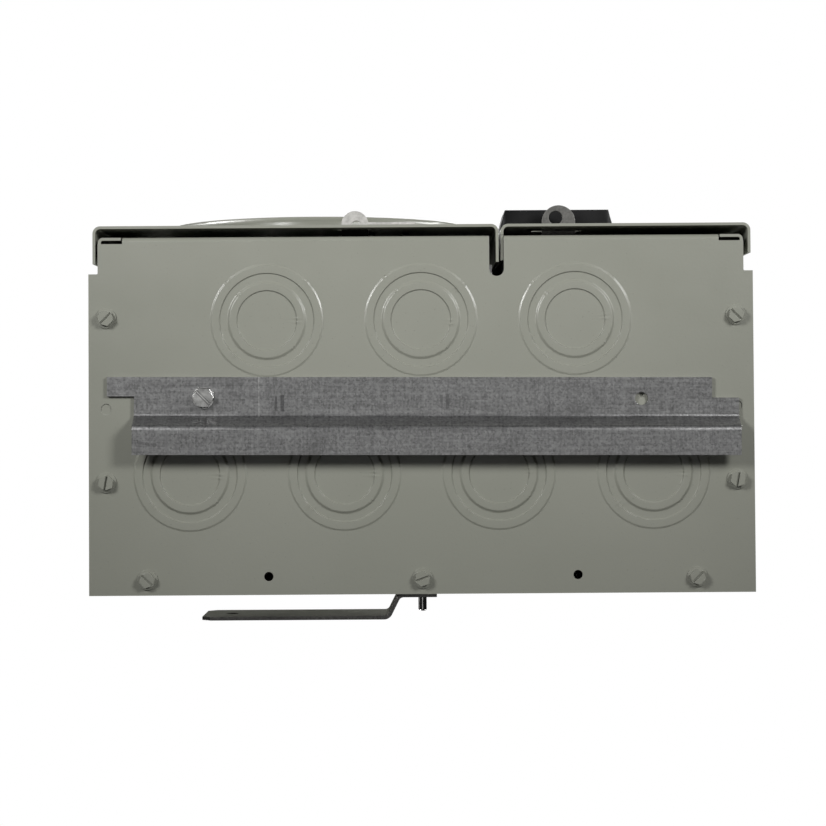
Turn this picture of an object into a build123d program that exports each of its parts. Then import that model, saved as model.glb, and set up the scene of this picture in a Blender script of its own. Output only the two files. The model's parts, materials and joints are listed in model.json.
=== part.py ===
"""Outdoor residential load center with a meter socket: a wall-hung sheet steel box, 15 by 28 inches.

Frame: millimetres, +Z up, the wall behind the box on the +Y side. The origin is the centre of the four
wall-mount holes, on the outside of the back. The front faces -Y, so a depth d is the plane Y = -d.
"""

import os

from build123d import *

# Enclosure
SHEET = 1.6                  # steel sheet of the box, covers and barrier
BEND = 2.0                   # bend radius at the middle of the sheet
WIDTH = 381.0
HEIGHT = 711.2
DEPTH = 205.0                # back to the front edge of the end walls
COVER_DEPTH = 211.7          # back to the outside of the covers
JOGGLE_DEPTH = 184.0         # where the side walls step in
JOGGLE = 5.3                 # how far they step in
RETURN_FLANGE = 13.2         # front edge of each side wall, turned inwards
HALF_W = WIDTH / 2
HALF_H = HEIGHT / 2
BOTTOM = -HALF_H
WALL_END = HALF_H - SHEET    # the side walls stop at the end walls
MOUNT_X, MOUNT_Z, MOUNT_R = 304.8, 609.6, 3.6

# Covers
COVER_BOTTOM = BOTTOM + 1.4
COVER_LEFT, COVER_RIGHT = -188.3, 44.9
COVER_FLANGE = 21.8
COVER_BEND = 3.6             # bend radius of the covers at the middle of the sheet
DOOR_LEFT, DOOR_RIGHT = 46.1, 189.6
DOOR_FLANGE_LEFT, DOOR_FLANGE_RIGHT = 21.0, 17.4
LIP_BOTTOM = HALF_H - 9.6    # lower edge of the drip lip, where the meter cover hooks in
COVER_TOP = HALF_H - 3.6
DOOR_TOP = LIP_BOTTOM - 1.5
SLOT_X, SLOT_R, SLOT_END = 43.6, 4.2, 185.85

# Meter socket
METER_X, METER_Z = -71.7, 6.4
METER_OPENING_R = 80.0
COLLAR_R, COLLAR_HEIGHT = 113.5, 26.8
JAW_X, JAW_Z = 36.5, 53.0    # half spacing of the four jaws
BLOCK_BACK, BLOCK_FRONT = 120.0, 165.0
JAW_FRONT = 207.0

# Bottom end wall
KNOCKOUT_RADII = (17.1, 22.0, 27.0, 31.95)
KNOCKOUT_RISE = 0.4
FRONT_KNOCKOUTS = [(x, -156.9) for x in (-88.3, 0.0, 88.3)]
BACK_KNOCKOUTS = [(x, -68.7) for x in (-132.6, -44.15, 44.15, 132.6)]
END_SCREWS = [(-157.0, -9.0), (0.0, -9.0), (157.0, -9.0),
              (-180.4, -64.6), (-180.4, -158.6), (180.4, -64.6), (180.4, -158.6)]
DRAIN_HOLES = [(-87.8, -10.5), (88.9, -10.5)]
SLOT_ANGLES = [-45, 20, 45, 80, 45, 80, -45]
SCREW_R = 2.4

# Mounting rail stored under the box
RAIL_SHEET = 1.8
RAIL_GAP = KNOCKOUT_RISE     # it lies on the raised knockout rings
RAIL_STEP = 10.0
RAIL_TURN = 0.37             # degrees, because one screw alone holds it
RAIL_SCREW_XY, RAIL_HOLE_XY = (-124.6, -112.9), (125.8, -112.5)

# Wall foot behind the box
FOOT_SHEET = 2.0
FOOT_PIVOT = (0.0, -328.6)
FOOT_STANDOFF = 12.7
FOOT_LENGTH = 126.7
FOOT_WIDTH = 48.0
FOOT_SCREW_R = 2.42

# Breaker side
BARRIER_X, BARRIER_DEPTH = 40.1, 188.4
PAN_DEPTH = 84.0
DEAD_FRONT_DEPTH = 160.0
BREAKER_X, BREAKER_WIDTH = 110.0, 76.0
BREAKER_PITCH, BREAKER_COUNT = 25.4, 8
BREAKER_TOP = 55.0
BREAKER_BACK, BREAKER_SHOULDER, BREAKER_NOSE = 112.0, 158.0, 172.0
TOGGLE_R, TOGGLE_LEAN = 12.0, 18.0
TOGGLE_PIVOT = 162.0
MAIN_X, MAIN_Z = 117.0, 134.0
MAIN_SIZE = (102.0, 128.0)
MAIN_TOGGLE_R = 17.0
MAIN_PIVOT = 160.0
NEUTRAL_X = 164.0

# Door hinge, in the side notch
HINGE_X, HINGE_DEPTH = 188.0, 189.4
KNUCKLE_R, PIN_R = 2.4, 1.2
HINGE_HEIGHTS = (-190.0, 190.0)
KNUCKLE = 16.0

# Latches
HANDLE_X, HANDLE_Z = 81.7, -274.6
HANDLE_SIZE = (68.4, 60.0)
HANDLE_HEIGHT = 12.3
STEM_X = 18.5
LATCH_TRAVEL = 10.0
HASP_X, HASP_Z = 81.7, -317.5
SEAL_X, SEAL_Z = -38.0, -335.6
COVER_LATCH_TRAVEL = 10.0

parts = []


def block(x, y, z, mode=Mode.ADD):
    """Box between the low and high limits on each axis."""
    centre = ((x[0] + x[1]) / 2, (y[0] + y[1]) / 2, (z[0] + z[1]) / 2)
    with Locations(centre):
        Box(x[1] - x[0], y[1] - y[0], z[1] - z[0], mode=mode)


def bent_sheet(points, thickness=SHEET, bend=BEND):
    """Section of a bent sheet whose middle follows the points."""
    with BuildSketch() as section:
        with BuildLine():
            FilletPolyline(*points, radius=bend)
        trace(line_width=thickness)
    return section.sketch


def at_depth(depth):
    """Plane parallel to the back, its local axes X and Z, facing the front."""
    return Plane.XZ.offset(depth)


def slotted_screw(seat, slot_angle, washer=5.8, flats=8.0, shank=SCREW_R, length=14.0, hex_angle=0):
    """Hex washer-head screw standing on the seat plane, its head along the plane's normal."""
    washer_height, hex_height, slot_depth, slot_width = 1.0, 3.2, 1.3, 1.3
    with BuildSketch(seat) as washer_face:
        Circle(washer)
    with BuildSketch(seat.offset(washer_height)) as hex_face:
        RegularPolygon(flats / 2, 6, major_radius=False, rotation=slot_angle + hex_angle)
    with BuildSketch(seat.offset(washer_height + hex_height - slot_depth)) as slot_face:
        Rectangle(2 * washer, slot_width, rotation=slot_angle)
    with BuildSketch(seat) as shank_face:
        Circle(shank)
    extrude(washer_face.sketch, amount=washer_height)
    extrude(hex_face.sketch, amount=hex_height)
    extrude(slot_face.sketch, amount=slot_depth, mode=Mode.SUBTRACT)
    extrude(shank_face.sketch, amount=-length)


def finish(name, part):
    """Label a finished piece and keep it for export."""
    part.part.label = name
    parts.append(part.part)


# --- Enclosure ---------------------------------------------------------------------------------

side_mid = HALF_W - SHEET / 2
step_mid = side_mid - JOGGLE
front_mid = -(DEPTH - SHEET / 2)
joggle_mid = -(JOGGLE_DEPTH - SHEET / 2)
back_mid = -SHEET / 2
half_profile = [
    (side_mid, back_mid), (side_mid, joggle_mid), (step_mid, joggle_mid), (step_mid, front_mid),
    (HALF_W - JOGGLE - RETURN_FLANGE, front_mid),
]
wrapper_path = [(-x, y) for x, y in reversed(half_profile)] + half_profile

with BuildPart() as wrapper:
    with BuildSketch(Plane.XY.offset(-WALL_END)):
        add(bent_sheet(wrapper_path))
    extrude(amount=2 * WALL_END)
    for end in (-1, 1):
        flange_z = sorted((end * WALL_END, end * (WALL_END - SHEET)))
        for side in (-1, 1):
            flange_x = sorted((side * (HALF_W - 1.0), side * (HALF_W - 19.0)))
            block(flange_x, (-175, -50), flange_z)
        block((-175, 175), (-18, -1.0), flange_z)
        with BuildSketch(Plane.XY.offset(flange_z[0])):
            with Locations(*END_SCREWS):
                Circle(SCREW_R + 0.05)
            if end < 0:
                with Locations(*DRAIN_HOLES):
                    Circle(4.5)
        extrude(amount=SHEET, mode=Mode.SUBTRACT)
    with BuildSketch(Plane.XZ):
        with GridLocations(MOUNT_X, MOUNT_Z, 2, 2):
            Circle(MOUNT_R)
        with Locations(FOOT_PIVOT):
            Circle(FOOT_SCREW_R + 0.03)
    extrude(amount=SHEET, mode=Mode.SUBTRACT)
finish("wrapper", wrapper)

with BuildPart() as bottom_end_wall:
    end_mid = BOTTOM + SHEET / 2
    with BuildSketch(Plane.YZ.offset(-HALF_W)):
        add(bent_sheet([(0, end_mid), (front_mid, end_mid), (front_mid, BOTTOM + 14)]))
    extrude(amount=WIDTH)
    for side in (-1, 1):
        outer = side * (HALF_W + 1)
        block(sorted((outer, side * (HALF_W - JOGGLE))), (-DEPTH - 1, -JOGGLE_DEPTH),
              (BOTTOM - 1, BOTTOM + 20), mode=Mode.SUBTRACT)
        block(sorted((outer, side * (HALF_W - JOGGLE - RETURN_FLANGE - 0.9))), (-DEPTH - 1, -201.3),
              (BOTTOM - 1, BOTTOM + 20), mode=Mode.SUBTRACT)
    for level, mode in ((BOTTOM, Mode.ADD), (BOTTOM + SHEET, Mode.SUBTRACT)):
        for inner, outer in (KNOCKOUT_RADII[:2], KNOCKOUT_RADII[2:]):
            with BuildSketch(Plane.XY.offset(level)):
                with Locations(*FRONT_KNOCKOUTS, *BACK_KNOCKOUTS):
                    Circle(outer)
                    Circle(inner, mode=Mode.SUBTRACT)
            extrude(amount=-KNOCKOUT_RISE, mode=mode)
    with BuildSketch(Plane.XY.offset(BOTTOM - 1)):
        with Locations(*END_SCREWS):
            Circle(SCREW_R + 0.2)
        with Locations(*DRAIN_HOLES):
            Circle(2.65)
        with Locations(RAIL_SCREW_XY):
            Circle(2.6)
    extrude(amount=SHEET + 2, mode=Mode.SUBTRACT)
    with BuildSketch(Plane.XY.offset(BOTTOM)):
        with Locations((-180.5, -106.6), (180.5, -106.6)):
            Circle(3.15)
        with Locations(RAIL_HOLE_XY):
            Circle(1.5)
    extrude(amount=0.6, mode=Mode.SUBTRACT)
    block((SLOT_X - SLOT_R, SLOT_X + SLOT_R), (-DEPTH - 1, -SLOT_END),
          (BOTTOM - 1, BOTTOM + 20), mode=Mode.SUBTRACT)
    block((SLOT_X, SLOT_X + SLOT_R + 1.8), (-DEPTH - 1, -200), (BOTTOM + 2.3, BOTTOM + 20), mode=Mode.SUBTRACT)
    with Locations((SLOT_X, -SLOT_END, BOTTOM)):
        Cylinder(SLOT_R, 10, mode=Mode.SUBTRACT)
finish("bottom_end_wall", bottom_end_wall)

lip_mid = -(COVER_DEPTH + 1.6 + SHEET / 2)
HUB_XY, HUB_R, HUB_SPACING = (METER_X, -100.0), 38.0, 92.0
with BuildPart() as top_end_wall:
    roof_mid = HALF_H - SHEET / 2
    with BuildSketch(Plane.YZ.offset(-HALF_W)):
        add(bent_sheet([(0, roof_mid), (lip_mid, roof_mid), (lip_mid, LIP_BOTTOM)]))
    extrude(amount=WIDTH)
    with BuildSketch(Plane.XY.offset(HALF_H - SHEET)):
        with Locations(*END_SCREWS):
            Circle(SCREW_R + 0.2)
        with Locations(HUB_XY):
            Circle(HUB_R)
            with GridLocations(HUB_SPACING, HUB_SPACING, 2, 2):
                Circle(SCREW_R + 0.05)
    extrude(amount=SHEET, mode=Mode.SUBTRACT)
finish("top_end_wall", top_end_wall)

with BuildPart() as hub_plate:
    with BuildSketch(Plane.XY.offset(HALF_H)):
        with Locations(HUB_XY):
            RectangleRounded(HUB_SPACING + 24, HUB_SPACING + 24, 10)
            with GridLocations(HUB_SPACING, HUB_SPACING, 2, 2):
                Circle(SCREW_R + 0.2, mode=Mode.SUBTRACT)
    extrude(amount=2.0)
    with BuildSketch(Plane.XY.offset(HALF_H + 2.0)):
        with Locations(HUB_XY):
            Circle(HUB_R)
    extrude(amount=2.5, taper=30)
finish("hub_plate", hub_plate)

with BuildPart() as end_wall_screws:
    for (x, y), angle in zip(END_SCREWS, SLOT_ANGLES):
        slotted_screw(Plane((x, y, BOTTOM), x_dir=(1, 0, 0), z_dir=(0, 0, -1)), angle)
finish("end_wall_screws", end_wall_screws)

with BuildPart() as top_wall_screws:
    for (x, y), angle in zip(END_SCREWS, SLOT_ANGLES):
        slotted_screw(Plane((x, y, HALF_H), z_dir=(0, 0, 1)), angle)
    half = HUB_SPACING / 2
    for x, y in ((-half, -half), (half, -half), (-half, half), (half, half)):
        slotted_screw(Plane((HUB_XY[0] + x, HUB_XY[1] + y, HALF_H + 2.0), z_dir=(0, 0, 1)), x + y)
finish("top_wall_screws", top_wall_screws)

# --- Wall fixings ------------------------------------------------------------------------------

with BuildPart() as mounting_rail:
    near = BOTTOM - RAIL_GAP - RAIL_SHEET / 2
    with BuildSketch(Plane.YZ.offset(-179.8)):
        add(bent_sheet([(-124.7, near), (-101.5, near), (-96.3, near - RAIL_STEP),
                        (-80.3, near - RAIL_STEP)], RAIL_SHEET, bend=3.6))
    extrude(amount=179.8 + 181.6)
    block((-180, -164.3), (-113.6, -78), (near - 12, near + 2), mode=Mode.SUBTRACT)
    block((166.2, 182), (-126, -113), (near - 12, near + 2), mode=Mode.SUBTRACT)
    with BuildSketch(Plane.XY.offset(near - 2)):
        with Locations(RAIL_SCREW_XY):
            Circle(2.6)
        with Locations(RAIL_HOLE_XY):
            Circle(3.7)
    extrude(amount=4, mode=Mode.SUBTRACT)
mounting_rail.part = mounting_rail.part.rotate(Axis((*RAIL_SCREW_XY, 0), (0, 0, 1)), RAIL_TURN)
finish("mounting_rail", mounting_rail)

with BuildPart() as rail_screw:
    seat_z = BOTTOM - RAIL_GAP - RAIL_SHEET
    slotted_screw(Plane((*RAIL_SCREW_XY, seat_z), x_dir=(1, 0, 0), z_dir=(0, 0, -1)), -45,
                  washer=6.3, flats=10.6, shank=2.5, length=16, hex_angle=41)
finish("rail_screw", rail_screw)

with BuildPart() as wall_foot:
    foot_near = 0.1 + FOOT_SHEET / 2
    foot_far = FOOT_STANDOFF + FOOT_SHEET / 2
    pivot_x, pivot_z = FOOT_PIVOT
    with BuildSketch(Plane.XY.offset(pivot_z - FOOT_WIDTH / 2)):
        add(bent_sheet([(8.2, foot_near), (-13.3, foot_near), (-19.6, foot_far),
                        (pivot_x - FOOT_LENGTH, foot_far)], FOOT_SHEET, bend=4.0))
    extrude(amount=FOOT_WIDTH)
    corners = wall_foot.edges().filter_by(Axis.Y).group_by(Axis.X)[0]
    chamfer(corners, 5)
    with BuildSketch(Plane.XZ.offset(-20)):
        with Locations((pivot_x, pivot_z)):
            Circle(FOOT_SCREW_R + 0.08)
        with Locations((pivot_x - FOOT_LENGTH + 16, pivot_z)):
            Circle(MOUNT_R)
    extrude(amount=20, mode=Mode.SUBTRACT)
finish("wall_foot", wall_foot)

with BuildPart() as foot_screw:
    with BuildSketch(Plane((pivot_x, -SHEET, pivot_z), x_dir=(1, 0, 0), z_dir=(0, -1, 0))):
        Circle(4.6)
    extrude(amount=3.0)
    with BuildSketch(Plane((pivot_x, -SHEET, pivot_z), x_dir=(1, 0, 0), z_dir=(0, -1, 0))):
        Circle(FOOT_SCREW_R)
    extrude(amount=-(SHEET + 11.7))
    chamfer(foot_screw.edges().sort_by(Axis.Y)[-1], 0.8)
finish("foot_screw", foot_screw)

# --- Meter socket ------------------------------------------------------------------------------

with BuildPart() as compartment_barrier:
    foot_y = -(SHEET + SHEET / 2)
    with BuildSketch(Plane.XY.offset(-352)):
        add(bent_sheet([(BARRIER_X - 20, foot_y), (BARRIER_X, foot_y), (BARRIER_X, -BARRIER_DEPTH)]))
    extrude(amount=704)
    block((BARRIER_X - 2, BARRIER_X + 2), (-76, -30), (METER_Z - 140, METER_Z - 95),
          mode=Mode.SUBTRACT)
finish("compartment_barrier", compartment_barrier)

with BuildPart() as meter_bracket:
    left, right = METER_X - 58, METER_X + 58
    crown = -(BLOCK_BACK - SHEET / 2)
    with BuildSketch(Plane.XY.offset(METER_Z - 96)):
        add(bent_sheet([(left - 18, foot_y), (left, foot_y), (left, crown), (right, crown),
                        (right, foot_y), (right + 18, foot_y)]))
    extrude(amount=192)
    with BuildSketch(at_depth(BLOCK_BACK)):
        with Locations((METER_X, METER_Z)):
            SlotOverall(60, 24, rotation=90)
    extrude(amount=-SHEET, mode=Mode.SUBTRACT)
finish("meter_bracket", meter_bracket)

with BuildPart() as meter_block:
    with BuildSketch(at_depth(BLOCK_BACK)):
        with Locations((METER_X, METER_Z)):
            RectangleRounded(132, 188, 8)
    extrude(amount=12)
    with BuildSketch(at_depth(BLOCK_BACK + 12)):
        with Locations((METER_X, METER_Z)):
            with GridLocations(2 * JAW_X, 2 * JAW_Z, 2, 2):
                RectangleRounded(44, 56, 4)
    extrude(amount=BLOCK_FRONT - BLOCK_BACK - 12)
    with BuildSketch(at_depth(BLOCK_BACK + 12)):
        with Locations((METER_X, METER_Z)):
            Rectangle(6, 176)
            Rectangle(120, 6)
    extrude(amount=BLOCK_FRONT - BLOCK_BACK + 8)
    with BuildSketch(at_depth(BLOCK_BACK)):
        with Locations((METER_X, METER_Z)):
            with GridLocations(112, 20, 2, 2):
                Circle(SCREW_R + 0.05)
    extrude(amount=12, mode=Mode.SUBTRACT)
finish("meter_block", meter_block)

with BuildPart() as meter_jaws:
    jaw_seat = -(BLOCK_FRONT + 3 + 0.9)
    for x in (METER_X - JAW_X, METER_X + JAW_X):
        for z in (METER_Z - JAW_Z, METER_Z + JAW_Z):
            with BuildSketch(Plane.XY.offset(z - 10)):
                add(bent_sheet([(x - 8, -JAW_FRONT), (x - 2.0, -195), (x - 7, -180), (x - 7, jaw_seat),
                                (x + 7, jaw_seat), (x + 7, -180), (x + 2.0, -195),
                                (x + 8, -JAW_FRONT)], 1.8, 1.6))
            extrude(amount=20)
finish("meter_jaws", meter_jaws)

lug_z = METER_Z + 112
with BuildPart() as line_lugs:
    for x in (METER_X - JAW_X, METER_X + JAW_X):
        block((x - 12, x + 12), (-BLOCK_FRONT - 3, -BLOCK_FRONT), (METER_Z + JAW_Z - 14, lug_z + 16))
        block((x - 15, x + 15), (-BLOCK_FRONT - 36, -BLOCK_FRONT - 3), (lug_z - 16, lug_z + 16))
        with Locations((x, -BLOCK_FRONT - 17, lug_z)):
            Cylinder(10.5, 40, mode=Mode.SUBTRACT)
        with BuildSketch(at_depth(BLOCK_FRONT + 21)):
            with Locations((x, lug_z)):
                Circle(6.5)
        extrude(amount=17, mode=Mode.SUBTRACT)
finish("line_lugs", line_lugs)

with BuildPart() as line_lug_screws:
    for x in (METER_X - JAW_X, METER_X + JAW_X):
        with BuildSketch(at_depth(BLOCK_FRONT + 22)):
            with Locations((x, lug_z)):
                Circle(6.45)
        extrude(amount=16)
        with BuildSketch(at_depth(BLOCK_FRONT + 32)):
            with Locations((x, lug_z)):
                RegularPolygon(3.4, 6, major_radius=False)
        extrude(amount=7, mode=Mode.SUBTRACT)
finish("line_lug_screws", line_lug_screws)

with BuildPart() as meter_block_screws:
    for x in (-56, 56):
        for z in (-10, 10):
            seat = Plane((METER_X + x, -BLOCK_BACK - 12, METER_Z + z), x_dir=(1, 0, 0), z_dir=(0, -1, 0))
            slotted_screw(seat, 30, washer=4.2, flats=6.4, length=11.9)
finish("meter_block_screws", meter_block_screws)

# Bars from the lower jaws, through the barrier, up behind the breakers to the main breaker.
bar_t, bar_w = 3.0, 20.0
with BuildPart() as feed_bars:
    for x, run_depth, drop, riser_x in ((METER_X - JAW_X, 60.0, 110.0, 95.0),
                                        (METER_X + JAW_X, 45.0, 103.0, 139.0)):
        leg_z = METER_Z - drop
        block((x - 12, x + 12), (-BLOCK_FRONT - bar_t, -BLOCK_FRONT), (leg_z - bar_t, METER_Z - JAW_Z + 14))
        block((x - 12, x + 12), (-BLOCK_FRONT, -run_depth), (leg_z - bar_t, leg_z))
        block((x - 12, riser_x + bar_w / 2), (-run_depth - bar_t, -run_depth), (METER_Z - 132, leg_z))
        block((riser_x - bar_w / 2, riser_x + bar_w / 2), (-run_depth - bar_t, -run_depth),
              (METER_Z - 132, 216))
        block((riser_x - bar_w / 2, riser_x + bar_w / 2), (-118, -run_depth), (213, 216))
        block((riser_x - bar_w / 2, riser_x + bar_w / 2), (-118, -115), (198, 216))
finish("feed_bars", feed_bars)

# --- Breaker interior --------------------------------------------------------------------------

with BuildPart() as interior_pan:
    pan_mid = -(PAN_DEPTH + SHEET / 2)
    with BuildSketch(Plane.YZ.offset(56)):
        add(bent_sheet([(foot_y, -200), (foot_y, -186), (pan_mid, -186), (pan_mid, 232),
                        (foot_y, 232), (foot_y, 246)]))
    extrude(amount=122)
    block((80, 154), (-PAN_DEPTH - 3, -PAN_DEPTH + 1), (204, 224), mode=Mode.SUBTRACT)
finish("interior_pan", interior_pan)

base_depth = PAN_DEPTH + SHEET
bus_depth = base_depth + 7
breaker_bottom = BREAKER_TOP - BREAKER_PITCH * BREAKER_COUNT
breaker_heights = [BREAKER_TOP - BREAKER_PITCH * (n + 0.5) for n in range(BREAKER_COUNT)]
with BuildPart() as bus_insulator:
    with BuildSketch(at_depth(base_depth)):
        with Locations((BREAKER_X, (BREAKER_TOP + breaker_bottom) / 2)):
            RectangleRounded(86, BREAKER_TOP - breaker_bottom + 20, 5)
    extrude(amount=bus_depth - base_depth)
    with BuildSketch(at_depth(bus_depth)):
        with Locations(*[(BREAKER_X + 36, z) for z in breaker_heights]):
            Rectangle(8, 12)
    extrude(amount=BREAKER_BACK - bus_depth)
finish("bus_insulator", bus_insulator)

with BuildPart() as branch_bus:
    for index, x in enumerate((BREAKER_X - 24, BREAKER_X + 4)):
        block((x - 9, x + 9), (-bus_depth - bar_t, -bus_depth), (breaker_bottom + 6, 62))
        for z in breaker_heights[index::2]:
            block((x - 6, x + 6), (-BREAKER_BACK, -bus_depth - bar_t), (z - 1.5, z + 1.5))
finish("branch_bus", branch_bus)

main_low, main_high = MAIN_Z - MAIN_SIZE[1] / 2, MAIN_Z + MAIN_SIZE[1] / 2
with BuildPart() as main_breaker:
    with BuildSketch(at_depth(base_depth)):
        with Locations((MAIN_X, MAIN_Z)):
            RectangleRounded(*MAIN_SIZE, 3)
    extrude(amount=BREAKER_SHOULDER - base_depth)
    with BuildSketch(at_depth(BREAKER_SHOULDER)):
        with Locations((MAIN_X, MAIN_Z)):
            RectangleRounded(70, 78, 4)
    extrude(amount=BREAKER_NOSE - BREAKER_SHOULDER + 2, taper=4)
    block((MAIN_X - 48, MAIN_X + 48), (-128, -base_depth), (main_high - 8, main_high + 1),
          mode=Mode.SUBTRACT)
    with Locations(Location((MAIN_X, -MAIN_PIVOT, MAIN_Z), (0, 90, 0))):
        Cylinder(MAIN_TOGGLE_R + 0.3, 36, mode=Mode.SUBTRACT)
finish("main_breaker", main_breaker)

with BuildPart() as main_handle:
    with Locations(Location((MAIN_X, -MAIN_PIVOT, MAIN_Z), (0, 90, 0))):
        Cylinder(MAIN_TOGGLE_R, 35)
    lean = Plane((MAIN_X, -MAIN_PIVOT, MAIN_Z), x_dir=(1, 0, 0), z_dir=(0, -1, 0)).rotated((TOGGLE_LEAN, 0, 0))
    with BuildSketch(lean.offset(MAIN_TOGGLE_R - 3)):
        RectangleRounded(30, 11, 2)
    extrude(amount=18, taper=3)
finish("main_handle", main_handle)

for number, z in enumerate(breaker_heights, start=1):
    with BuildPart() as branch_breaker:
        with BuildSketch(at_depth(BREAKER_BACK)):
            with Locations((BREAKER_X, z)):
                RectangleRounded(BREAKER_WIDTH, BREAKER_PITCH - 0.6, 1)
        extrude(amount=BREAKER_SHOULDER - BREAKER_BACK)
        with BuildSketch(at_depth(BREAKER_SHOULDER)):
            with Locations((BREAKER_X, z)):
                RectangleRounded(36, BREAKER_PITCH - 0.6, 1)
        extrude(amount=BREAKER_NOSE - BREAKER_SHOULDER)
        with Locations((BREAKER_X, -TOGGLE_PIVOT, z)):
            Cylinder(TOGGLE_R + 0.3, 14, mode=Mode.SUBTRACT)
    finish(f"branch_breaker_{number}", branch_breaker)

    with BuildPart() as branch_handle:
        with Locations((BREAKER_X, -TOGGLE_PIVOT, z)):
            Cylinder(TOGGLE_R, 13.2)
        lean = Plane((BREAKER_X, -TOGGLE_PIVOT, z), x_dir=(1, 0, 0), z_dir=(0, -1, 0))
        with BuildSketch(lean.rotated((0, 0, TOGGLE_LEAN)).offset(TOGGLE_R - 2)):
            RectangleRounded(7, 12, 1.5)
        extrude(amount=13, taper=3)
    finish(f"branch_handle_{number}", branch_handle)

neutral_low, neutral_high = -150.0, 50.0
terminals = [neutral_low + 10 + 15 * n for n in range(13)]
with BuildPart() as neutral_bar:
    block((NEUTRAL_X - 6, NEUTRAL_X + 6), (-120, -108), (neutral_low, neutral_high))
    with BuildSketch(Plane.YZ.offset(NEUTRAL_X - 6)):
        with Locations(*[(-114, z) for z in terminals]):
            Circle(3.0)
    extrude(amount=12, mode=Mode.SUBTRACT)
    with BuildSketch(at_depth(114)):
        with Locations(*[(NEUTRAL_X, z) for z in terminals]):
            Circle(2.5)
    extrude(amount=6, mode=Mode.SUBTRACT)
finish("neutral_bar", neutral_bar)

with BuildPart() as neutral_screws:
    for z in terminals:
        with BuildSketch(at_depth(116)):
            with Locations((NEUTRAL_X, z)):
                Circle(2.45)
        extrude(amount=4)
        with BuildSketch(at_depth(120)):
            with Locations((NEUTRAL_X, z)):
                Circle(4.0)
                Rectangle(10, 1.2, rotation=35, mode=Mode.SUBTRACT)
        extrude(amount=2.4)
finish("neutral_screws", neutral_screws)

with BuildPart() as neutral_standoffs:
    for z in (neutral_low + 4, neutral_high - 4):
        block((NEUTRAL_X - 7, NEUTRAL_X + 7), (-108, -base_depth), (z - 7, z + 7))
finish("neutral_standoffs", neutral_standoffs)

with BuildPart() as bonding_strap:
    with BuildSketch(Plane.YZ.offset(NEUTRAL_X - 5)):
        add(bent_sheet([(-119, neutral_low - 0.6), (-110.5, neutral_low - 0.6), (-110.5, -212),
                        (-2.2, -212), (-2.2, -230)], 1.2, 1.5))
    extrude(amount=10)
finish("bonding_strap", bonding_strap)

ground_x = [62 + 11 * n for n in range(8)]
with BuildPart() as ground_bar:
    block((56, 146), (-14, -SHEET), (-262, -250))
    with BuildSketch(Plane.XY.offset(-262)):
        with Locations(*[(x, -8) for x in ground_x]):
            Circle(3.0)
    extrude(amount=12, mode=Mode.SUBTRACT)
    with BuildSketch(at_depth(8)):
        with Locations(*[(x, -256) for x in ground_x]):
            Circle(2.5)
    extrude(amount=6, mode=Mode.SUBTRACT)
finish("ground_bar", ground_bar)

with BuildPart() as ground_screws:
    for x in ground_x:
        with BuildSketch(at_depth(10)):
            with Locations((x, -256)):
                Circle(2.45)
        extrude(amount=4)
        with BuildSketch(at_depth(14)):
            with Locations((x, -256)):
                Circle(4.0)
                Rectangle(10, 1.2, rotation=-20, mode=Mode.SUBTRACT)
        extrude(amount=2.4)
finish("ground_screws", ground_screws)

# --- Dead front --------------------------------------------------------------------------------

RAIL_HEIGHTS = (-300.0, 300.0)
with BuildPart() as dead_front_rails:
    for z in RAIL_HEIGHTS:
        mid = -(DEAD_FRONT_DEPTH - SHEET / 2)
        with BuildSketch(Plane.YZ.offset(BARRIER_X + SHEET / 2)):
            add(bent_sheet([(mid + 18, z - 12), (mid, z - 12), (mid, z + 12), (mid + 18, z + 12)]))
        extrude(amount=HALF_W - SHEET - BARRIER_X - SHEET / 2)
        with BuildSketch(at_depth(DEAD_FRONT_DEPTH)):
            with Locations((60, z), (170, z)):
                Circle(SCREW_R + 0.05)
        extrude(amount=-SHEET, mode=Mode.SUBTRACT)
finish("dead_front_rails", dead_front_rails)

with BuildPart() as dead_front:
    mid = -(DEAD_FRONT_DEPTH + SHEET / 2)
    with BuildSketch(Plane.XY.offset(-335)):
        add(bent_sheet([(43.5, mid + 1 + 14), (43.5, mid), (187, mid), (187, mid + 15)]))
    extrude(amount=670)
    for z in RAIL_HEIGHTS:
        block((42, 189), (-DEAD_FRONT_DEPTH, -DEAD_FRONT_DEPTH + 20), (z - 14, z + 14), mode=Mode.SUBTRACT)
    with BuildSketch(at_depth(DEAD_FRONT_DEPTH)):
        with Locations((MAIN_X, MAIN_Z)):
            RectangleRounded(72, 80, 4)
        with Locations((BREAKER_X, (BREAKER_TOP + breaker_bottom) / 2)):
            RectangleRounded(37.6, BREAKER_TOP - breaker_bottom + 1.4, 1.5)
        with Locations(*[(x, z) for x in (60, 170) for z in RAIL_HEIGHTS]):
            Circle(SCREW_R + 0.2)
    extrude(amount=SHEET, mode=Mode.SUBTRACT)
finish("dead_front", dead_front)

with BuildPart() as dead_front_screws:
    for x in (60, 170):
        for z in RAIL_HEIGHTS:
            seat = Plane((x, -DEAD_FRONT_DEPTH - SHEET, z), x_dir=(1, 0, 0), z_dir=(0, -1, 0))
            slotted_screw(seat, x / 2, washer=5.0, flats=7.0, length=12)
finish("dead_front_screws", dead_front_screws)

with BuildPart() as latch_keeper:
    with BuildSketch(Plane.YZ.offset(50)):
        add(bent_sheet([(-DEAD_FRONT_DEPTH - SHEET - 0.8, -240), (-DEAD_FRONT_DEPTH - SHEET - 0.8, -261.2),
                        (-200.8, -261.2), (-200.8, -272)]))
    extrude(amount=18)
finish("latch_keeper", latch_keeper)

# --- Tabs that a seal and a padlock go through --------------------------------------------------

flange_inner = -(DEPTH - SHEET)


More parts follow.
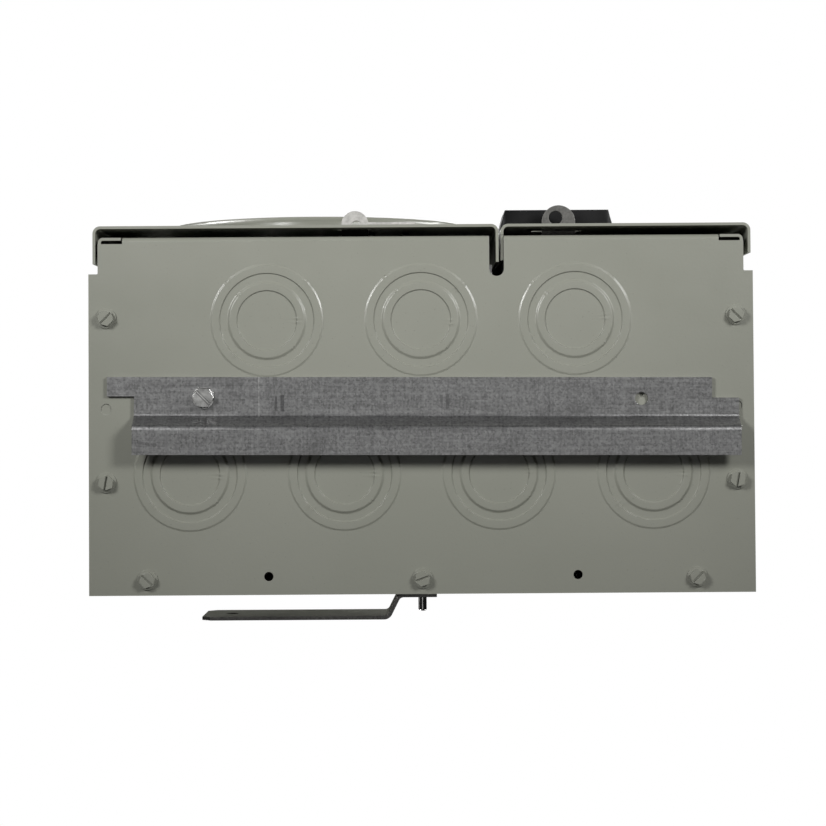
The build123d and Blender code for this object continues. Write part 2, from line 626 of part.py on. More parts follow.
def lock_tab(x, z, tip_depth, outer_r, hole_r, hole_shift, thickness):
    """Angle on the inside of the bottom wall's front flange, with a round-ended tab towards the front."""
    leg_mid = flange_inner + thickness / 2
    centre_y = -(tip_depth - outer_r)
    angle = bent_sheet([(leg_mid, BOTTOM + 4), (leg_mid, z), (centre_y, z)], thickness, thickness)
    extrude(Plane.YZ.offset(x - outer_r) * angle, amount=2 * outer_r)
    with BuildSketch(Plane.XY.offset(z - thickness / 2)) as tip_face:
        with Locations((x, centre_y)):
            Circle(outer_r)
    with BuildSketch(Plane.XY.offset(z - thickness / 2)) as hole_face:
        with Locations((x + hole_shift[0], centre_y + hole_shift[1])):
            Circle(hole_r)
    extrude(tip_face.sketch, amount=thickness)
    extrude(hole_face.sketch, amount=thickness, mode=Mode.SUBTRACT)


with BuildPart() as seal_tab:
    lock_tab(SEAL_X, SEAL_Z, 221.1, 7.8, 2.6, (0.8, 0.4), 2.0)
finish("seal_tab", seal_tab)

with BuildPart() as padlock_hasp:
    lock_tab(HASP_X, HASP_Z, 225.4, 9.9, 4.0, (-1.7, -2.6), 2.5)
finish("padlock_hasp", padlock_hasp)

# --- Meter cover -------------------------------------------------------------------------------

cover_mid = -(COVER_DEPTH - SHEET / 2)
flange_back = -(COVER_DEPTH - COVER_FLANGE)
with BuildPart() as meter_cover:
    with BuildSketch(Plane.XY.offset(COVER_BOTTOM)):
        add(bent_sheet([(COVER_LEFT + SHEET / 2, flange_back), (COVER_LEFT + SHEET / 2, cover_mid),
                        (COVER_RIGHT - SHEET / 2, cover_mid), (COVER_RIGHT - SHEET / 2, flange_back)],
                       bend=COVER_BEND))
    extrude(amount=COVER_TOP - COVER_BOTTOM)
    with BuildSketch(at_depth(COVER_DEPTH - SHEET)):
        with Locations((METER_X, METER_Z)):
            Circle(COLLAR_R - 2)
        with Locations((SEAL_X, SEAL_Z)):
            RectangleRounded(20, 6, 1)
        with Locations((SEAL_X + 9.5, -312), (SEAL_X + 29.5, -312)):
            Circle(2.0)
    extrude(amount=SHEET, mode=Mode.SUBTRACT)
    collar_axis = Plane((METER_X, -COVER_DEPTH, METER_Z), x_dir=(1, 0, 0), z_dir=(0, 0, 1))
    with BuildSketch(collar_axis):
        with BuildLine():
            FilletPolyline((COLLAR_R, SHEET / 2), (COLLAR_R - 3.4, SHEET / 2 - COLLAR_HEIGHT),
                           (METER_OPENING_R + SHEET / 2, SHEET / 2 - COLLAR_HEIGHT),
                           (METER_OPENING_R + SHEET / 2, SHEET / 2 - COLLAR_HEIGHT + 9), radius=4)
        trace(line_width=SHEET)
    revolve(axis=Axis((METER_X, -COVER_DEPTH, METER_Z), (0, 1, 0)))
finish("meter_cover", meter_cover)

with BuildPart() as cover_latch_rivets:
    for x in (SEAL_X + 9.5, SEAL_X + 29.5):
        with BuildSketch(at_depth(COVER_DEPTH - SHEET - 1)):
            with Locations((x, -312)):
                Circle(1.95)
        extrude(amount=SHEET + 3.0)
        with BuildSketch(at_depth(COVER_DEPTH + 2.0)):
            with Locations((x, -312)):
                Circle(4.0)
        extrude(amount=1.2, taper=30)
finish("cover_latch_rivets", cover_latch_rivets)

with BuildPart() as cover_latch:
    left, right = SEAL_X + 0.5, SEAL_X + 39
    latch_low, latch_high = SEAL_Z + 1.5, -296.0
    face = COVER_DEPTH + 0.2
    block((left, right), (-face - SHEET, -face), (latch_low, latch_high))
    block((left + 4, right - 4), (-face - 6, -face), (latch_high - SHEET, latch_high))
    with BuildSketch(at_depth(face)):
        with Locations(*[(x, -312 - COVER_LATCH_TRAVEL / 2) for x in (SEAL_X + 9.5, SEAL_X + 29.5)]):
            SlotOverall(COVER_LATCH_TRAVEL + 4.6, 4.4, rotation=90)
    extrude(amount=SHEET, mode=Mode.SUBTRACT)
finish("cover_latch", cover_latch)

# --- Door, its hinge and its latch --------------------------------------------------------------

with BuildPart() as door:
    with BuildSketch(Plane.XY.offset(COVER_BOTTOM)):
        add(bent_sheet([(DOOR_LEFT + SHEET / 2, -(COVER_DEPTH - DOOR_FLANGE_LEFT)),
                        (DOOR_LEFT + SHEET / 2, cover_mid), (DOOR_RIGHT - SHEET / 2, cover_mid),
                        (DOOR_RIGHT - SHEET / 2, -(COVER_DEPTH - DOOR_FLANGE_RIGHT))],
                       bend=COVER_BEND))
    extrude(amount=DOOR_TOP - COVER_BOTTOM)
    block((DOOR_LEFT - 1, DOOR_LEFT + SHEET + 0.4), (-DEPTH - 0.5, -180), (COVER_BOTTOM - 1, BOTTOM + 2.4),
          mode=Mode.SUBTRACT)
    with BuildSketch(at_depth(COVER_DEPTH - SHEET)):
        with Locations((HASP_X - 1.5, HASP_Z)):
            RectangleRounded(29, 7, 1)
        with Locations(*[(HANDLE_X + dx, HANDLE_Z - LATCH_TRAVEL / 2) for dx in (-STEM_X, STEM_X)]):
            Rectangle(7, LATCH_TRAVEL + 9)
    extrude(amount=SHEET, mode=Mode.SUBTRACT)
finish("door", door)

with BuildPart() as door_hinge_leaves:
    for height in HINGE_HEIGHTS:
        leaf_in, leaf_out = HINGE_X - KNUCKLE_R, DOOR_RIGHT - SHEET - 0.05
        block((leaf_in, leaf_out), (-207, -192.4), (height - 32, height + 32))
        block((leaf_in, leaf_out), (-193, -HINGE_DEPTH), (height - KNUCKLE / 2, height + KNUCKLE / 2))
        with Locations((HINGE_X, -HINGE_DEPTH, height)):
            Cylinder(KNUCKLE_R, KNUCKLE)
            Cylinder(PIN_R + 0.06, KNUCKLE, mode=Mode.SUBTRACT)
finish("door_hinge_leaves", door_hinge_leaves)

with BuildPart() as frame_hinge_leaves:
    for height in HINGE_HEIGHTS:
        for side in (-1, 1):
            centre_z = height + side * (KNUCKLE + 0.3)
            block((HALF_W - JOGGLE + 1.3, HINGE_X + KNUCKLE_R), (-HINGE_DEPTH, -JOGGLE_DEPTH),
                  (centre_z - KNUCKLE / 2, centre_z + KNUCKLE / 2))
            with Locations((HINGE_X, -HINGE_DEPTH, centre_z)):
                Cylinder(KNUCKLE_R, KNUCKLE)
                Cylinder(PIN_R, KNUCKLE, mode=Mode.SUBTRACT)
finish("frame_hinge_leaves", frame_hinge_leaves)

with BuildPart() as hinge_pins:
    for height in HINGE_HEIGHTS:
        with Locations((HINGE_X, -HINGE_DEPTH, height)):
            Cylinder(PIN_R, 3 * KNUCKLE + 2)
        for side in (-1, 1):
            with Locations((HINGE_X, -HINGE_DEPTH, height + side * (1.5 * KNUCKLE + 1))):
                Cylinder(1.9, 1.2)
finish("hinge_pins", hinge_pins)

with BuildPart() as latch_handle:
    seat = COVER_DEPTH + 0.2
    with BuildSketch(at_depth(seat)):
        with Locations((HANDLE_X, HANDLE_Z)):
            RectangleRounded(*HANDLE_SIZE, 3)
    extrude(amount=HANDLE_HEIGHT, taper=15)
    with BuildSketch(at_depth(seat + HANDLE_HEIGHT)):
        with Locations((HANDLE_X, HANDLE_Z + 4)):
            RectangleRounded(42, 26, 4)
    extrude(amount=-8, taper=10, mode=Mode.SUBTRACT)
    for dx in (-STEM_X, STEM_X):
        block((HANDLE_X + dx - 3, HANDLE_X + dx + 3), (-seat, -207.5), (HANDLE_Z - 4, HANDLE_Z + 4))
finish("latch_handle", latch_handle)

with BuildPart() as latch_bolt:
    block((50.5, 110), (-207.5, -205.9), (-276, HANDLE_Z + 12))
    block((50.5, 66), (-205.9, -196), (-276, -274.4))
    block((50.5, 66), (-197.6, -196), (-276, -272.5))
finish("latch_bolt", latch_bolt)

# --- Export ------------------------------------------------------------------------------------

os.makedirs("parts", exist_ok=True)
for piece in parts:
    export_step(piece, f"parts/{piece.label}.step")
print(len(parts), "pieces")
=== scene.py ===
"""Looks of the meter and breaker panel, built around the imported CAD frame. Metres, +Z up, front on -Y."""

import json
import math

import bmesh
import bpy
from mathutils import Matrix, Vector


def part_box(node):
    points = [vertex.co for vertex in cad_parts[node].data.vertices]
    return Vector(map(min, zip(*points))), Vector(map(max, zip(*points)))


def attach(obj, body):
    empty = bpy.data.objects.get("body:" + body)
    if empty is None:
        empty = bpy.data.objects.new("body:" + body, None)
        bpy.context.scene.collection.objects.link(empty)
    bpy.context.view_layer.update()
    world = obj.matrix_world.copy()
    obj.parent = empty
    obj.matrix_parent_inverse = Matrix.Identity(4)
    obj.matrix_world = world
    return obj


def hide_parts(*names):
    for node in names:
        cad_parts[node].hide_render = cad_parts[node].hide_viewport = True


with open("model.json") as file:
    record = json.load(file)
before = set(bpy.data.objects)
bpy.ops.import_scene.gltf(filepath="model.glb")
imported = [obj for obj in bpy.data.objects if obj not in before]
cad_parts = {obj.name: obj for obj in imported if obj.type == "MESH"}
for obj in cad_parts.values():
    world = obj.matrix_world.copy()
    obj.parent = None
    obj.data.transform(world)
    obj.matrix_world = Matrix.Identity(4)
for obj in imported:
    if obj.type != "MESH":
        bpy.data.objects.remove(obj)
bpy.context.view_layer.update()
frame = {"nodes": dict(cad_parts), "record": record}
MM = 0.001
record = frame["record"]
BODY_OF = {node: body for body, nodes in record["behaviour"]["bodies"].items() for node in nodes}
SLOT_OF = {row["node"]: row["material_slot"] for row in record["subparts"]}


# --- Materials ---------------------------------------------------------------------------------

def scaled(colour, factor):
    return tuple(factor * part for part in colour)


class Shader:
    """A principled material with short calls for the nodes that feed it."""

    def __init__(self, name, colour, metallic, roughness, **sockets):
        self.material = bpy.data.materials.new(name)
        self.material.use_nodes = True
        self.tree = self.material.node_tree
        self.surface = self.tree.nodes["Principled BSDF"]
        self.surface.inputs["Base Color"].default_value = (*colour, 1)
        self.surface.inputs["Metallic"].default_value = metallic
        self.surface.inputs["Roughness"].default_value = roughness
        for key, value in sockets.items():
            self.surface.inputs[key.replace("_", " ")].default_value = value
        self.position = self.node("ShaderNodeTexCoord").outputs["Object"]
        self.bump_chain = None

    def node(self, kind, **settings):
        made = self.tree.nodes.new(kind)
        for key, value in settings.items():
            setattr(made, key, value)
        return made

    def link(self, source, target):
        self.tree.links.new(source, target)

    def stretched(self, scale):
        mapping = self.node("ShaderNodeMapping")
        mapping.inputs["Scale"].default_value = scale
        self.link(self.position, mapping.inputs["Vector"])
        return mapping.outputs["Vector"]

    def noise(self, scale, detail, roughness=0.5, vector=None):
        made = self.node("ShaderNodeTexNoise")
        made.inputs["Scale"].default_value = scale
        made.inputs["Detail"].default_value = detail
        made.inputs["Roughness"].default_value = roughness
        self.link(vector or self.position, made.inputs["Vector"])
        return made.outputs["Fac"]

    def cells(self, scale):
        """A random tone for each crystal of a broken surface."""
        made = self.node("ShaderNodeTexVoronoi")
        made.inputs["Scale"].default_value = scale
        self.link(self.position, made.inputs["Vector"])
        return made.outputs["Color"]

    def axis(self, name):
        """One coordinate of the point on the surface."""
        split = self.node("ShaderNodeSeparateXYZ")
        self.link(self.position, split.inputs["Vector"])
        return split.outputs[name]

    def band(self, value, low, high, soft):
        """1 between low and high, 0 beyond soft edges."""
        return self.math("MULTIPLY", self.ramp(value, low - soft, low), self.ramp(value, high + soft, high))

    def ramp(self, source, low, high, start=0.0, end=1.0):
        made = self.node("ShaderNodeMapRange")
        made.inputs["From Min"].default_value = low
        made.inputs["From Max"].default_value = high
        made.inputs["To Min"].default_value = start
        made.inputs["To Max"].default_value = end
        self.link(source, made.inputs["Value"])
        return made.outputs["Result"]

    def mix(self, factor, first, second):
        """Colour between first and second; each is a colour or a socket."""
        made = self.node("ShaderNodeMix", data_type="RGBA")
        self.link(factor, made.inputs["Factor"])
        for value, socket in ((first, made.inputs["A"]), (second, made.inputs["B"])):
            if isinstance(value, tuple):
                socket.default_value = (*value, 1)
            else:
                self.link(value, socket)
        return made.outputs["Result"]

    def clouded(self, cloud, colour):
        """The colour, a little darker and lighter with the cloud."""
        return self.mix(self.ramp(cloud, 0.3, 0.7), scaled(colour, 0.85), scaled(colour, 1.12))

    def math(self, operation, first, second):
        made = self.node("ShaderNodeMath", operation=operation)
        for value, socket in ((first, made.inputs[0]), (second, made.inputs[1])):
            if isinstance(value, (int, float)):
                socket.default_value = value
            else:
                self.link(value, socket)
        return made.outputs["Value"]

    def colour(self, socket):
        self.link(socket, self.surface.inputs["Base Color"])

    def roughness(self, socket):
        self.link(socket, self.surface.inputs["Roughness"])

    def bump(self, height, distance, strength=1.0):
        made = self.node("ShaderNodeBump")
        made.inputs["Distance"].default_value = distance
        made.inputs["Strength"].default_value = strength
        self.link(height, made.inputs["Height"])
        if self.bump_chain:
            self.link(self.bump_chain, made.inputs["Normal"])
        self.bump_chain = made.outputs["Normal"]
        self.link(self.bump_chain, self.surface.inputs["Normal"])

    def edges(self, radius, low, high):
        """1 along sharp edges, 0 on flat faces."""
        rounded = self.node("ShaderNodeBevel", samples=4)
        rounded.inputs["Radius"].default_value = radius
        geometry = self.node("ShaderNodeNewGeometry")
        dot = self.node("ShaderNodeVectorMath", operation="DOT_PRODUCT")
        self.link(rounded.outputs["Normal"], dot.inputs[0])
        self.link(geometry.outputs["Normal"], dot.inputs[1])
        return self.ramp(dot.outputs["Value"], high, low)


def paint():
    """Grey baked enamel with a green cast: fine orange peel, faint dust and handling marks."""
    s = Shader("painted_steel", (0.29, 0.295, 0.25), 0.0, 0.36, Coat_Weight=0.25, Coat_Roughness=0.16)
    broad = s.noise(7.0, 4.0)
    tone = s.mix(s.ramp(broad, 0.35, 0.65), (0.278, 0.284, 0.240), (0.302, 0.306, 0.262))
    specks = s.ramp(s.noise(900.0, 2.0), 0.69, 0.73)
    tone = s.mix(specks, tone, (0.24, 0.245, 0.21))
    worn = s.math("MULTIPLY", s.edges(0.0006, 0.80, 0.97), s.ramp(s.noise(160.0, 3.0), 0.42, 0.62))
    s.colour(s.mix(worn, tone, (0.36, 0.365, 0.33)))
    s.roughness(s.ramp(s.noise(34.0, 5.0, 0.6), 0.3, 0.7, 0.30, 0.42))
    s.bump(s.noise(520.0, 2.0), 0.00012, 0.35)
    s.bump(s.noise(36.0, 2.0), 0.0006, 0.10)
    return s.material


MARK_BLUR = 0.3 * MM


def galvanised(name="galvanised", light=(0.44, 0.44, 0.44), dark=(0.085, 0.085, 0.085), rough=(0.26, 0.40),
               marks=()):
    """Zinc-coated sheet: fine spangle, faint rolling marks both ways and dull patches.

    Each mark is its reach in X and in Y, in millimetres, its colour and how strongly it shows.
    """
    s = Shader(name, light, 0.85, 0.40)
    spangle = s.cells(900.0)
    grain = s.noise(700.0, 4.0, 0.7)
    along = s.noise(90.0, 6.0, 0.75, s.stretched((0.25, 8.0, 8.0)))
    across = s.noise(90.0, 6.0, 0.75, s.stretched((8.0, 0.35, 0.35)))
    dull = s.noise(22.0, 4.0, 0.6)
    rolled = s.math("ADD", s.ramp(along, 0.35, 0.65), s.ramp(across, 0.35, 0.65))
    blend = s.math("ADD", s.math("MULTIPLY", s.ramp(spangle, 0.0, 1.0), 0.40),
                   s.math("MULTIPLY", rolled, 0.20))
    blend = s.math("ADD", blend, s.math("MULTIPLY", s.ramp(grain, 0.35, 0.65), 0.20))
    grey = s.mix(blend, dark, light)
    tone = s.mix(s.ramp(dull, 0.55, 0.8, 0.0, 0.6), grey, scaled(dark, 0.8))
    for (left, right), (front, back), tint, strength in marks:
        along_x, along_y = (s.band(s.axis(name), low * MM, high * MM, MARK_BLUR)
                            for name, low, high in (("X", left, right), ("Y", front, back)))
        patch = s.math("MULTIPLY", s.math("MULTIPLY", along_x, along_y), s.ramp(grain, 0.3, 0.6, 0.3, 1.0))
        tone = s.mix(s.math("MULTIPLY", patch, strength), tone, tint)
    s.colour(tone)
    s.roughness(s.ramp(s.math("ADD", along, dull), 0.7, 1.3, *rough))
    s.bump(s.math("ADD", grain, s.math("ADD", along, across)), 0.00006, 0.6)
    s.bump(s.noise(30.0, 2.0), 0.0005, 0.12)
    return s.material


def plated(name, colour, rough=0.28, grain=1400.0, spread=0.18, painted_shade_from=None):
    """Plating on small hardware: satin with darker clouding; from a given Y backwards it is painted near
    black as painted shade.
    """
    s = Shader(name, colour, 1.0, rough)
    cloud = s.noise(220.0, 4.0, 0.6)
    tone = s.mix(s.ramp(cloud, 0.35, 0.7), colour, scaled(colour, 0.62))
    # Painted shade: from the given Y backwards the colour turns near black, standing in for the shadow in
    # the gap behind the meter cover.
    if painted_shade_from is not None:
        shade_mask = s.ramp(s.axis("Y"), painted_shade_from, painted_shade_from + 1.2 * MM)
        tone = s.mix(shade_mask, tone, (0.012, 0.012, 0.011))
    s.colour(tone)
    s.roughness(s.ramp(cloud, 0.3, 0.7, rough, rough + spread))
    s.bump(s.noise(grain, 2.0), 0.00003, 0.5)
    return s.material


def moulded(name, colour, rough, grain):
    """Moulded plastic with a fine spark-eroded grain, polished a little where it is handled."""
    s = Shader(name, colour, 0.0, rough, Specular_IOR_Level=0.32)
    cloud = s.noise(60.0, 4.0)
    pale = tuple(part + 0.02 for part in colour)
    worn = s.edges(0.0008, 0.80, 0.97)
    s.colour(s.mix(s.math("MULTIPLY", worn, 0.5), s.clouded(cloud, colour), pale))
    s.roughness(s.ramp(cloud, 0.3, 0.7, rough - 0.06, rough + 0.08))
    s.bump(s.noise(grain, 3.0, 0.6), 0.00006, 0.6)
    return s.material


MATERIALS = {
    "paint": paint(),
    "galvanised": galvanised(),
    "dark_zinc": galvanised("dark_zinc", (0.19, 0.186, 0.18), (0.045, 0.044, 0.043), (0.28, 0.42)),
    "zinc": plated("zinc_plate", (0.62, 0.62, 0.61), 0.08, spread=0.08),
    "moulding": moulded("meter_moulding", (0.035, 0.031, 0.030), 0.48, 900.0),
    "breaker_case": moulded("breaker_moulding", (0.020, 0.020, 0.022), 0.42, 1100.0),
    "black_plastic": moulded("black_plastic", (0.005, 0.005, 0.0052), 0.38, 1300.0),
    "tinned": plated("tin_plate", (0.60, 0.59, 0.56), 0.34),
    "aluminium": plated("machined_aluminium", (0.70, 0.70, 0.70), 0.30),
}

# Pieces whose finish differs from the rest of their slot
BRIGHT_SCRATCH, OLD_INK = (0.75, 0.75, 0.74), (0.02, 0.02, 0.022)
RAIL_MARKS = [((-93.2, -92.7), (-125, -101.5), BRIGHT_SCRATCH, 0.55),
              ((-83.5, -82.6), (-113.2, -105.4), OLD_INK, 0.55),
              ((-80.4, -78.6), (-114.0, -105.0), OLD_INK, 0.60),
              ((11.0, 12.2), (-113.6, -106.0), OLD_INK, 0.35),
              ((14.2, 15.8), (-114.0, -105.4), OLD_INK, 0.40)]
COVER_FACE_Y = -0.2113
# Dull zinc for the seal tab and cover latch; behind the cover's face it is painted near black as painted
# shade for the gap behind the cover.
DULL_ZINC_WITH_PAINTED_SHADE = plated("dull_zinc_painted_shade", (0.62, 0.61, 0.585), 0.48, 900.0, painted_shade_from=COVER_FACE_Y)
FINISH_OF = {"seal_tab": DULL_ZINC_WITH_PAINTED_SHADE, "cover_latch": DULL_ZINC_WITH_PAINTED_SHADE, "cover_latch_rivets": DULL_ZINC_WITH_PAINTED_SHADE,
             "padlock_hasp": galvanised("hasp_zinc", (0.21, 0.207, 0.195), (0.085, 0.083, 0.08),
                                        (0.40, 0.55)),
             "mounting_rail": galvanised("rail_zinc", (0.56, 0.56, 0.56), (0.10, 0.10, 0.10),
                                         marks=RAIL_MARKS)}


# --- Mesh helpers ------------------------------------------------------------------------------

def new_piece(name, mesh, node, material):
    """Object on the node's body, with the given finish or else that of the node's slot."""
    piece = bpy.data.objects.new(name, mesh)
    bpy.context.scene.collection.objects.link(piece)
    mesh.materials.clear()
    mesh.materials.append(material or MATERIALS[SLOT_OF[node]])
    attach(piece, BODY_OF[node])
    return piece


def welded(node, whole_faces=True):
    """Bmesh copy of a CAD node with its split corners joined and, by default, its flat faces whole."""
    bm = bmesh.new()
    bm.from_mesh(frame["nodes"][node].data)
    bmesh.ops.remove_doubles(bm, verts=bm.verts, dist=2e-6)
    if whole_faces:
        bmesh.ops.dissolve_limit(bm, angle_limit=math.radians(0.4), verts=bm.verts, edges=bm.edges)
    return bm


SHARP_EDGE = math.radians(32.0)       # edges sharper than this are rounded
SHARP_SHADING = math.radians(38.0)    # edges sharper than this keep a crease in their shading


def soften(bm, width):
    """Round every sharp edge by width."""
    if width <= 0:
        return
    sharp = [e for e in bm.edges if len(e.link_faces) == 2 and e.calc_face_angle(0) > SHARP_EDGE]
    bmesh.ops.bevel(bm, geom=sharp, offset=width, segments=2, profile=0.5, affect="EDGES",
                    clamp_overlap=True, harden_normals=False)


def finished(bm, name, node, material=None):
    """Smooth-shaded piece from a bmesh, in the node's place; flat faces keep straight normals."""
    for face in bm.faces:
        face.smooth = True
    mesh = bpy.data.meshes.new(name)
    bm.to_mesh(mesh)
    bm.free()
    mesh.set_sharp_from_angle(angle=SHARP_SHADING)
    piece = new_piece(name, mesh, node, material)
    weighted = piece.modifiers.new("weighted_normals", "WEIGHTED_NORMAL")
    weighted.keep_sharp = True
    weighted.weight = 80
    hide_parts(node)


def dressed(node):
    """The CAD node's own shape with its edges broken."""
    bm = welded(node)
    soften(bm, 0 if node in SHARP_PIECES else EDGE[SLOT_OF[node]] * MM)
    finished(bm, f"{node}_shape", node, FINISH_OF.get(node))


SHARP_PIECES = ("foot_screw",)
EDGE = {                              # edge radius of each slot, millimetres
    "paint": 0.25, "galvanised": 0.15, "dark_zinc": 0.25, "zinc": 0.2, "moulding": 0.8,
    "breaker_case": 0.6, "black_plastic": 0.8, "tinned": 0.25, "aluminium": 0.4,
}


# --- Bottom end wall with its stamped knockouts --------------------------------------------------

# All sizes here are millimetres and degrees.
STAMPING = 0.4                              # how far the CAD's knockouts stand out of the end wall
END_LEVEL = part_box("bottom_end_wall")[0].z + STAMPING * MM    # outside face of the end wall, metres
RING_RADII = (17.1, 22.0, 27.0, 31.95)      # where the surface steps, alternately out and in
RING_BENDS = (0.40, 0.95, 0.40, 0.70)       # half width of each step: sheared inside, rounded outside
RING_RISE, RING_SINK = 0.45, 0.40
FIELD_RADII = {0.6, 8.0, 14.0, 19.5, 24.5, 29.4}    # further circles of points between the steps
SPOKES = 300
KNOCKOUTS = ([(x, -156.9) for x in (-88.3, 0.0, 88.3)]
             + [(x, -68.7) for x in (-132.6, -44.15, 44.15, 132.6)])
KNOCKOUT_TURNS = (0, 5, -4, 3, 0, -6, 2)
TIES = {3: (-135, -45), 2: (135, -45), 1: (-135, 45), 0: (0,)}    # where each step stays joined
TIE_HALF_GAP, TIE_REACH, TIE_RISE, TIE_SPREAD = 1.15, 2.2, 0.42, 0.36


def smooth_step(value):
    value = min(1.0, max(0.0, value))
    return value * value * (3 - 2 * value)


def ring_height(radius):
    """How far the stamped surface stands out of the plate at a distance from the knockout's centre."""
    levels = (-RING_SINK, RING_RISE, -RING_SINK, RING_RISE, 0.0)
    height = levels[0]
    for edge, bend, before, after in zip(RING_RADII, RING_BENDS, levels, levels[1:]):
        height += (after - before) * smooth_step((radius - edge + bend) / (2 * bend))
    return height


def tie_height(radius, angle, turn):
    """Height of the pair of small beads that marks each tie."""
    height = 0.0
    for edge, places in TIES.items():
        across = radius - RING_RADII[edge]
        if abs(across) > TIE_REACH:
            continue
        for place in places:
            around = (angle - math.radians(place + turn) + math.pi) % (2 * math.pi) - math.pi
            for offset in (-TIE_HALF_GAP, TIE_HALF_GAP):
                arc = around * RING_RADII[edge] - offset
                height += TIE_RISE * math.exp(-(arc * arc + across * across) / TIE_SPREAD)
    return height


def knockout_relief(centre, turn):
    """Bmesh of one knockout: smooth rings with a pair of small beads at every tie."""
    steps = {round(edge + bend * k / 4, 2) for edge, bend in zip(RING_RADII, RING_BENDS)
             for k in range(-4, 5)}
    bm = bmesh.new()
    rings = []
    for radius in sorted(steps | FIELD_RADII):
        ring = []
        for index in range(SPOKES):
            angle = 2 * math.pi * index / SPOKES
            height = ring_height(radius) + tie_height(radius, angle, turn)
            ring.append(bm.verts.new((
                (centre[0] + radius * math.cos(angle)) * MM, (centre[1] + radius * math.sin(angle)) * MM,
                END_LEVEL - height * MM)))
        rings.append(ring)
    skirt = [bm.verts.new((v.co.x, v.co.y, END_LEVEL + 0.08 * MM)) for v in rings[-1]]
    rings.append(skirt)
    bm.faces.new(rings[0])
    for inner, outer in zip(rings, rings[1:]):
        for index in range(SPOKES):
            after = (index + 1) % SPOKES
            bm.faces.new((inner[index], inner[after], outer[after], outer[index]))
    bmesh.ops.recalc_face_normals(bm, faces=bm.faces)
    return bm


def within(vert, centre, reach):
    return math.hypot(vert.co.x - centre[0] * MM, vert.co.y - centre[1] * MM) < reach * MM


def end_wall():
    """The end wall with each plain stamped knockout exchanged for its detailed relief."""
    bm = welded("bottom_end_wall", whole_faces=False)
    outside = [face for face in bm.faces if max(v.co.z for v in face.verts) < END_LEVEL + 0.1 * MM]
    stamped = [face for face in outside if any(
        all(within(v, centre, RING_RADII[-1] + 0.05) for v in face.verts) for centre in KNOCKOUTS)]
    bmesh.ops.delete(bm, geom=stamped, context="FACES")
    soften(bm, EDGE["paint"] * MM)
    for centre, turn in zip(KNOCKOUTS, KNOCKOUT_TURNS):
        relief = knockout_relief(centre, turn)
        scratch = bpy.data.meshes.new("relief")
        relief.to_mesh(scratch)
        relief.free()
        bm.from_mesh(scratch)
        bpy.data.meshes.remove(scratch)
    finished(bm, "bottom_end_wall_shape", "bottom_end_wall")


end_wall()
for node in SLOT_OF:
    if node != "bottom_end_wall":
        dressed(node)


# --- Stage -------------------------------------------------------------------------------------

FLOOR_Z, FLOOR_HALF = -2.75, 0.45
FLOOR_COLOUR, FLOOR_GLOW = (0.80, 0.80, 0.79), 0.6
SURROUND_COLOUR, SURROUND_STRENGTH = (0.97, 0.99, 1.0), 0.012
CAMERA_DISTANCE = 1.30                  # from the rail, below the bottom end wall
RAIL_DROP = 2.2 * MM
CAMERA_XY = (-0.0049, -0.1032)
VIEW_WIDTH = 0.4722                     # width of the picture at the bottom end wall
SENSOR_WIDTH = 36.0
CAMERA_TURN = (1.535, 0.066, 0.366)     # degrees away from looking straight up
CAMERA_SHIFT = (-0.0031, -0.0734)
MIDDLE = (0, -0.1, 0)
ROOM_LAMPS = (                          # name, place, target, size, watts; each spreads 30 degrees
    ("front_left", (-1.9, -2.4, 0.9), MIDDLE, (1.4, 1.4), 5.0),
    ("front_right", (2.2, -1.9, 0.7), MIDDLE, (1.0, 1.6), 3.4),
    ("back_left", (-1.6, 2.2, 0.9), MIDDLE, (1.4, 1.2), 4.4),
    ("back_right", (1.9, 1.9, 0.5), MIDDLE, (1.2, 1.2), 3.0),
    ("top", (0.2, -0.5, 2.5), (0, -0.1, 0.3), (1.2, 1.2), 0.8),
)


def area_light(name, place, target, size, power, spread):
    light = bpy.data.lights.new(name, "AREA")
    light.shape = "RECTANGLE"
    light.size, light.size_y = size
    light.energy = power
    light.spread = math.radians(spread)
    lamp = bpy.data.objects.new(name, light)
    lamp.location = place
    lamp.rotation_euler = (Vector(target) - Vector(place)).to_track_quat("-Z", "Y").to_euler()
    bpy.context.scene.collection.objects.link(lamp)


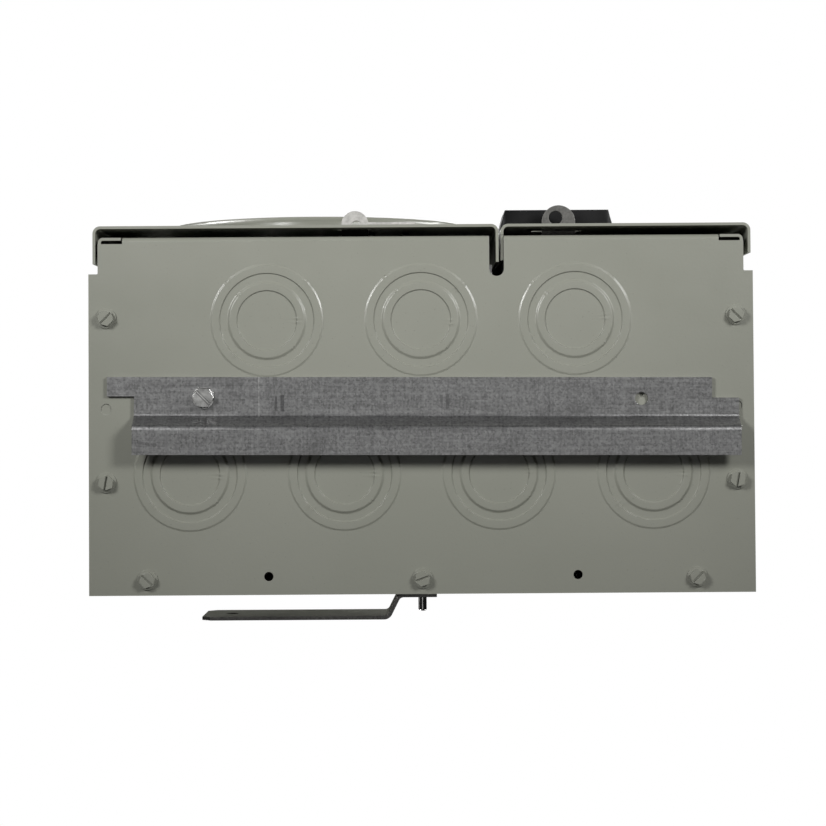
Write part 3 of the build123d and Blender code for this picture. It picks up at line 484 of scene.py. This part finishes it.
def studio_world():
    """White behind the object, a dim soft surround for lighting it."""
    world = bpy.data.worlds.new("studio")
    bpy.context.scene.world = world
    world.use_nodes = True
    tree = world.node_tree
    tree.nodes.clear()
    output = tree.nodes.new("ShaderNodeOutputWorld")
    mix = tree.nodes.new("ShaderNodeMixShader")
    path = tree.nodes.new("ShaderNodeLightPath")
    seen, ambient = tree.nodes.new("ShaderNodeBackground"), tree.nodes.new("ShaderNodeBackground")
    seen.inputs["Color"].default_value = (1, 1, 1, 1)
    ambient.inputs["Color"].default_value = (*SURROUND_COLOUR, 1)
    ambient.inputs["Strength"].default_value = SURROUND_STRENGTH
    tree.links.new(path.outputs["Is Camera Ray"], mix.inputs["Fac"])
    tree.links.new(ambient.outputs[0], mix.inputs[1])
    tree.links.new(seen.outputs[0], mix.inputs[2])
    tree.links.new(mix.outputs[0], output.inputs["Surface"])


def pale_floor():
    mesh = bpy.data.meshes.new("floor")
    corners = [(x * FLOOR_HALF, y * FLOOR_HALF, FLOOR_Z) for x, y in ((-1, -1), (1, -1), (1, 1), (-1, 1))]
    mesh.from_pydata(corners, [], [(0, 1, 2, 3)])
    mesh.materials.append(Shader("pale_floor", FLOOR_COLOUR, 0.0, 0.7,
                                 Emission_Color=(*FLOOR_COLOUR, 1), Emission_Strength=FLOOR_GLOW).material)
    floor = bpy.data.objects.new("floor", mesh)
    bpy.context.scene.collection.objects.link(floor)


def lamps():
    for side in (-1, 1):
        area_light(f"below_{side + 2}", (side * 0.55, -0.48, END_LEVEL - 0.66),
                   (side * -0.05, -0.24, END_LEVEL), (0.26, 0.24), 1.22, 84)
    for name, place, target, size, power in ROOM_LAMPS:
        area_light(name, place, target, size, power, 30)


def look_up():
    """The camera, under the panel and looking up at its bottom end."""
    lens = bpy.data.cameras.new("camera")
    lens.sensor_width = SENSOR_WIDTH
    lens.lens = SENSOR_WIDTH * CAMERA_DISTANCE / VIEW_WIDTH
    lens.shift_x, lens.shift_y = CAMERA_SHIFT
    lens.clip_start, lens.clip_end = 0.01, 100.0
    camera = bpy.data.objects.new("camera", lens)
    camera.location = (*CAMERA_XY, END_LEVEL - CAMERA_DISTANCE - RAIL_DROP)
    pitch, yaw, roll = (math.radians(a) for a in CAMERA_TURN)
    camera.rotation_euler = (math.pi + pitch, yaw, roll)
    bpy.context.scene.collection.objects.link(camera)
    bpy.context.scene.camera = camera
    bpy.context.scene.view_settings.view_transform = "Standard"


pale_floor()
studio_world()
lamps()
look_up()
